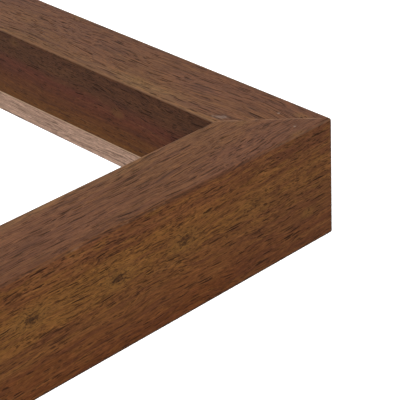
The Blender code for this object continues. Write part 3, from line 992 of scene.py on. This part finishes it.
def add_buttons(material):
    mesh = None
    for item in frame["joints"]:
        name = item["child"].replace("_button", "_turn_button")
        if name not in frame["nodes"]:
            continue
        low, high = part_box(name)
        size = high - low
        upright = size[2] > size[0]
        sheet = size[1]
        span = max(size[0], size[2]) - BUTTON_HEAD - BUTTON_TIP
        mesh = mesh or button_mesh(span, sheet)
        x, _, z = item["pos_m"]
        height = middle_of(name).y - section.back
        place = on_back(x, z, height, math.pi / 2 if upright else 0.0)
        add_piece(name + "_look", mesh, place, material, item["child"], name)


# ---------------------------------------------------------------- hangers

# The strap: its sheet, its holes' radius, and the room between its layers and about the ring
STRAP_SHEET = 0.0008
STRAP_HOLE = 0.0019
STRAP_LAYER_GAP = 0.0001
STRAP_CLEARANCE = 0.0003

# The fold over the ring's bar, and the share of its slope that the bend below it takes
FOLD_ANGLE = math.radians(50)
FOLD_STEPS = 40
BEND_SHARE = 0.35
BEND_STEPS = 8

RING_CORNER = 0.0020


def ring_bar(node):
    """The middle of a D-ring's straight bar, and the radius of its wire."""
    low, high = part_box(node)
    wire = (high[1] - low[1]) / 2
    x, y, _ = middle_of(node)
    return Vector((x, y, low[2] + wire)), wire


def strap_path(wire, length):
    """The strap's middle line from its lower end, up, round the bar and down again.

    X is the height over the bar's centre and Y is up.
    """
    radius = wire + STRAP_CLEARANCE + STRAP_SHEET / 2
    over_layer = STRAP_SHEET + STRAP_LAYER_GAP - radius
    wrap = arc((0, 0), radius, math.pi, -math.pi - FOLD_ANGLE, FOLD_STEPS)
    last = Vector(wrap[-1])
    slope = Vector((math.sin(FOLD_ANGLE), math.cos(FOLD_ANGLE)))
    run = (last.x - over_layer) / slope.x
    joins = last - slope * run
    ease = run * BEND_SHARE
    before, after = joins + slope * ease, joins - Vector((0, ease))
    bend = []
    for i in range(BEND_STEPS + 1):
        t = i / BEND_STEPS
        bend.append(tuple(before * (1 - t) ** 2 + joins * 2 * t * (1 - t) + after * t**2))
    return [(-radius, -length), *wrap, *bend, (over_layer, -length)]


def strap_sheet(wire, width, length):
    """The folded sheet before it is trimmed: X across, Y away from the back, Z up."""
    bm = bmesh.new()
    path = strap_path(wire, length)
    verts = [bm.verts.new((-width / 2, out, up)) for out, up in path]
    edges = [bm.edges.new(pair) for pair in zip(verts, verts[1:])]
    drawn = bmesh.ops.extrude_edge_only(bm, edges=edges)["geom"]
    moved = [item for item in drawn if isinstance(item, bmesh.types.BMVert)]
    bmesh.ops.translate(bm, verts=moved, vec=(width, 0, 0))
    ob = new_object("strap", mesh_from("strap", bm))
    shell = ob.modifiers.new("thickness", "SOLIDIFY")
    shell.thickness = STRAP_SHEET
    shell.offset = 0.0
    shell.use_even_offset = True
    return ob


def strap_mesh(node, ring_node, screws):
    """The hanger's strap about its ring's bar: folded sheet, round lower end, two screw holes."""
    low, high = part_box(node)
    bar, wire = ring_bar(ring_node)
    half = (high[0] - low[0]) / 2
    length = bar.z - low[2]
    sheet = strap_sheet(wire, 4 * half, length + 2 * half)
    sideways = Matrix.Rotation(math.pi / 2, 4, "X")
    round_end = arc((0, half - length), half, math.pi, math.pi, 48)
    outline = [*round_end, (half, 2 * half), (-half, 2 * half)]
    trim = new_object("trim", plate("trim", outline, -4 * half, 4 * half))
    trim.matrix_world = sideways
    combine(sheet, trim, "INTERSECT")
    drills = []
    for screw in screws:
        hole = drill(STRAP_HOLE, 8 * half)
        hole.matrix_world = Matrix.Translation((0, 0, middle_of(screw).z - bar.z)) @ sideways
        combine(sheet, hole, "DIFFERENCE")
        drills.append(hole)
    ease_edges(sheet, STAMPED_EASE)
    return smooth(baked(sheet, trim, *drills))


def ring_mesh(node):
    """Round wire bent to a D: a straight bar about the origin, eased corners and a round bow."""
    low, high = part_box(node)
    wire = (high[1] - low[1]) / 2
    half = (high[0] - low[0]) / 2 - wire
    side = high[2] - low[2] - 2 * wire - half
    right = arc((half - RING_CORNER, RING_CORNER), RING_CORNER, -math.pi / 2, math.pi / 2, 12)
    bow = arc((0, side), half, 0, math.pi, 56)
    left = [(-x, z) for x, z in reversed(right)]
    curve = bpy.data.curves.new("ring", "CURVE")
    curve.dimensions = "3D"
    curve.bevel_depth = wire
    curve.bevel_resolution = 6
    path = right + bow + left
    spline = curve.splines.new("POLY")
    spline.points.add(len(path) - 1)
    for point, (x, z) in zip(spline.points, path):
        point.co = (x, 0, z, 1)
    spline.use_cyclic_u = True
    return smooth(baked(new_object("ring", curve)), 60)


def add_hangers(strap_material, ring_material):
    strap = ring = None
    for side in ("left", "right"):
        ring_node, strap_node = f"{side}_d_ring", f"{side}_hanger_strap"
        screws = [f"{side}_strap_screw_{row}" for row in ("upper", "lower")]
        ring = ring or ring_mesh(ring_node)
        strap = strap or strap_mesh(strap_node, ring_node, screws)
        place = Matrix.Translation(ring_bar(ring_node)[0])
        body = body_of(ring_node)
        add_piece(ring_node + "_look", ring, place, ring_material, body, ring_node)
        body = body_of(strap_node)
        add_piece(strap_node + "_look", strap, place, strap_material, body, strap_node)


# ---------------------------------------------------------------- bumpers

BUMPER_EASE = 0.0016
BUMPER_DISH = 0.0003
BUMPER_SEGMENTS = 72

# The moulded rim round the foot: how far out and how high it is, its two eased edges, and how far
# the fillet above it reaches out and up
BUMPER_RIM = 0.0006
RIM_EASE = 0.00015
RIM_CHAMFER = 0.0001
FILLET_OUT = 0.0001
FILLET_TOP = 0.0010


def bumper_mesh(radius, height):
    """A round foot with a shallow dished top, a rounded shoulder and a moulded rim."""
    side = radius - BUMPER_RIM
    top = side - BUMPER_EASE
    shares = [i / 10 for i in range(10)]
    dish = [(top * share, height - BUMPER_DISH * (1 - share**2) ** 2) for share in shares]
    shoulder = arc((top, height - BUMPER_EASE), BUMPER_EASE, math.pi / 2, -math.pi / 2, 14)
    fillet = [(side, FILLET_TOP), (side + FILLET_OUT, BUMPER_RIM)]
    rim = arc((radius - RIM_EASE, BUMPER_RIM - RIM_EASE), RIM_EASE, math.pi / 2, -math.pi / 2, 4)
    under = [(radius, RIM_CHAMFER), (radius - RIM_CHAMFER, 0), (0, 0)]
    profile = [*dish, *shoulder, *fillet, *rim, *under]
    return smooth(turned("bumper", profile, BUMPER_SEGMENTS), 40)


def add_bumpers(material):
    mesh = None
    for name in ("left_bumper", "right_bumper"):
        low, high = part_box(name)
        mesh = mesh or bumper_mesh((high[0] - low[0]) / 2, high[1] - low[1])
        x, _, z = middle_of(name)
        place = on_back(x, z, low[1] - section.back)
        add_piece(name + "_look", mesh, place, material, body_of(name), name)


# ---------------------------------------------------------------- the object

for number, (name, turn) in enumerate(SIDES.items()):
    dress(name, hardwood(f"{name}_wood", turn, number + 1))

nail_steel = plated_steel("nail_steel", *NAIL_STEEL)
for name in frame["nodes"]:
    if "nail" in name:
        dress(name, nail_steel)

add_glue_lines(dried_glue("dried_glue"))
add_screws(plated_steel("screw_steel", *SCREW_STEEL))
add_buttons(plated_steel("button_zinc", *BUTTON_ZINC))
strap_zinc = plated_steel("strap_zinc", *STRAP_ZINC)
ring_nickel = plated_steel("ring_nickel", *RING_NICKEL)
add_hangers(strap_zinc, ring_nickel)
add_bumpers(moulded_rubber("bumper_rubber"))


# ---------------------------------------------------------------- floor, light and camera

# The floor: how far it reaches each way, its paint's tone, and the light that it adds for the
# camera alone, so that it shows white as a product sweep does
FLOOR_REACH = 6
FLOOR_PAINT = (0.9, 0.9, 0.9)
FLOOR_GLOW = 0.5

WHITE = (1.0, 1.0, 1.0)
ROOM_LIGHT = 0.30

# Each soft light's place, width and power; all of them face one point on the frame
LIGHTS = {
    "key": ((-0.3, -1.6, 2.3), 1.6, 72),
    "fill": ((1.9, -0.9, 1.3), 1.2, 12),
    "back": ((1.4, 1.9, 1.2), 1.2, 16),
}
LIGHT_TARGET = (0, 0, 0.3)

# The view: its place in moulding depths from the face's top left corner, its direction about the
# depth axis from straight down, its slope towards the back, and its roll
VIEW_FROM = (8.197, -5.696, 7.511)
VIEW_AZIMUTH = math.radians(42.22)
VIEW_ELEVATION = math.radians(29.82)
VIEW_ROLL = math.radians(-3.03)
LENS = 149.4
SENSOR_WIDTH = 36


def add_floor():
    bm = bmesh.new()
    bmesh.ops.create_grid(bm, x_segments=1, y_segments=1, size=FLOOR_REACH)
    mesh = bpy.data.meshes.new("floor")
    bm.to_mesh(mesh)
    bm.free()
    floor = new_object("floor", mesh)
    floor.location.z = section.bottom
    g = Graph("floor_paint")
    to_camera = g.node("ShaderNodeLightPath").outputs["Is Camera Ray"]
    glow = {"Emission_Color": solid(WHITE), "Emission_Strength": g.product(to_camera, FLOOR_GLOW)}
    mesh.materials.append(g.finish(solid(FLOOR_PAINT), 0.9, **glow))


def add_light(name, place, size, power):
    """A square soft light that faces the target."""
    light = bpy.data.lights.new(name, "AREA")
    light.energy = power
    light.size = size
    ob = new_object(name, light)
    ob.location = place
    ahead = Vector(LIGHT_TARGET) - Vector(place)
    ob.rotation_euler = ahead.to_track_quat("-Z", "Y").to_euler()


def add_world(strength):
    """A dim white room for the light, which the camera sees as a plain white backdrop."""
    world = bpy.data.worlds.new("studio")
    world.use_nodes = True
    tree = world.node_tree
    sky = tree.nodes["Background"]
    sky.inputs["Color"].default_value = solid(WHITE)
    to_camera = tree.nodes.new("ShaderNodeLightPath").outputs["Is Camera Ray"]
    level = tree.nodes.new("ShaderNodeMapRange")
    tree.links.new(to_camera, level.inputs["Value"])
    level.inputs["To Min"].default_value = strength
    level.inputs["To Max"].default_value = 1.0
    tree.links.new(level.outputs[0], sky.inputs["Strength"])
    bpy.context.scene.world = world


def add_camera():
    """Looks at the top left corner from above its right, with the face upwards in the view."""
    level = math.cos(VIEW_ELEVATION)
    ahead = Vector((
        -level * math.sin(VIEW_AZIMUTH),
        math.sin(VIEW_ELEVATION),
        -level * math.cos(VIEW_AZIMUTH),
    ))
    face_out = Vector((0, -1, 0))
    right = ahead.cross(face_out).normalized()
    up = right.cross(ahead)
    turned_right = right * math.cos(VIEW_ROLL) + up * math.sin(VIEW_ROLL)
    turned_up = up * math.cos(VIEW_ROLL) - right * math.sin(VIEW_ROLL)
    axes = Matrix((turned_right, turned_up, -ahead)).transposed().to_4x4()
    corner = Vector((section.left, section.front, section.top))
    where = corner + Vector(VIEW_FROM) * section.depth
    camera = bpy.data.cameras.new("camera")
    camera.lens = LENS
    camera.sensor_width = SENSOR_WIDTH
    camera.clip_start = 0.01
    ob = new_object("camera", camera)
    ob.matrix_world = Matrix.Translation(where) @ axes
    bpy.context.scene.camera = ob


add_floor()
add_world(ROOM_LIGHT)
for name, (place, size, power) in LIGHTS.items():
    add_light(name, place, size, power)
add_camera()
bpy.context.scene.view_settings.view_transform = "Standard"
